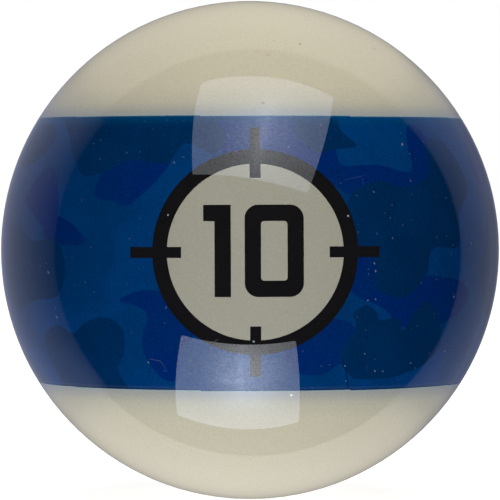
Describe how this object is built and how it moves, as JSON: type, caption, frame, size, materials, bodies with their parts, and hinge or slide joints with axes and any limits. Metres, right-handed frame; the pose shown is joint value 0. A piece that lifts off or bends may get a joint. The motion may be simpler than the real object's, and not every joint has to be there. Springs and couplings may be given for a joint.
{
  "type": "numbered pool ball",
  "caption": "Striped pool ball numbered ten: cream shell, printed blue camouflage stripe, ringed number on the front and the rear, all polished flush.",
  "frame": {"origin": "centre of the ball", "axes": "+Z is the pole above the stripe, the stripe lies round Z, the front number faces -Y and the rear number faces +Y"},
  "size_m": [0.0572, 0.0572, 0.0572],
  "materials": {
    "dense_resin": "matte",
    "cream_resin": "gloss",
    "blue_film": "gloss",
    "navy_ink": "gloss",
    "royal_ink": "gloss",
    "cream_film": "gloss",
    "black_ink": "gloss"
  },
  "bodies": {
    "root": {"resin_core": "dense_resin", "cream_shell": "cream_resin", "stripe_film_1": "blue_film", "stripe_film_2": "blue_film", "stripe_film_3": "blue_film", "stripe_film_4": "blue_film", "stripe_film_5": "blue_film", "stripe_film_6": "blue_film", "stripe_film_7": "blue_film", "stripe_film_8": "blue_film", "stripe_film_9": "blue_film", "navy_camo_print": "navy_ink", "royal_camo_print": "royal_ink", "front_number_disc": "cream_film", "front_number_ring": "black_ink", "front_digit_one": "black_ink", "front_digit_zero": "black_ink", "rear_number_disc": "cream_film", "rear_number_ring": "black_ink", "rear_digit_one": "black_ink", "rear_digit_zero": "black_ink"}
  },
  "joints": []
}
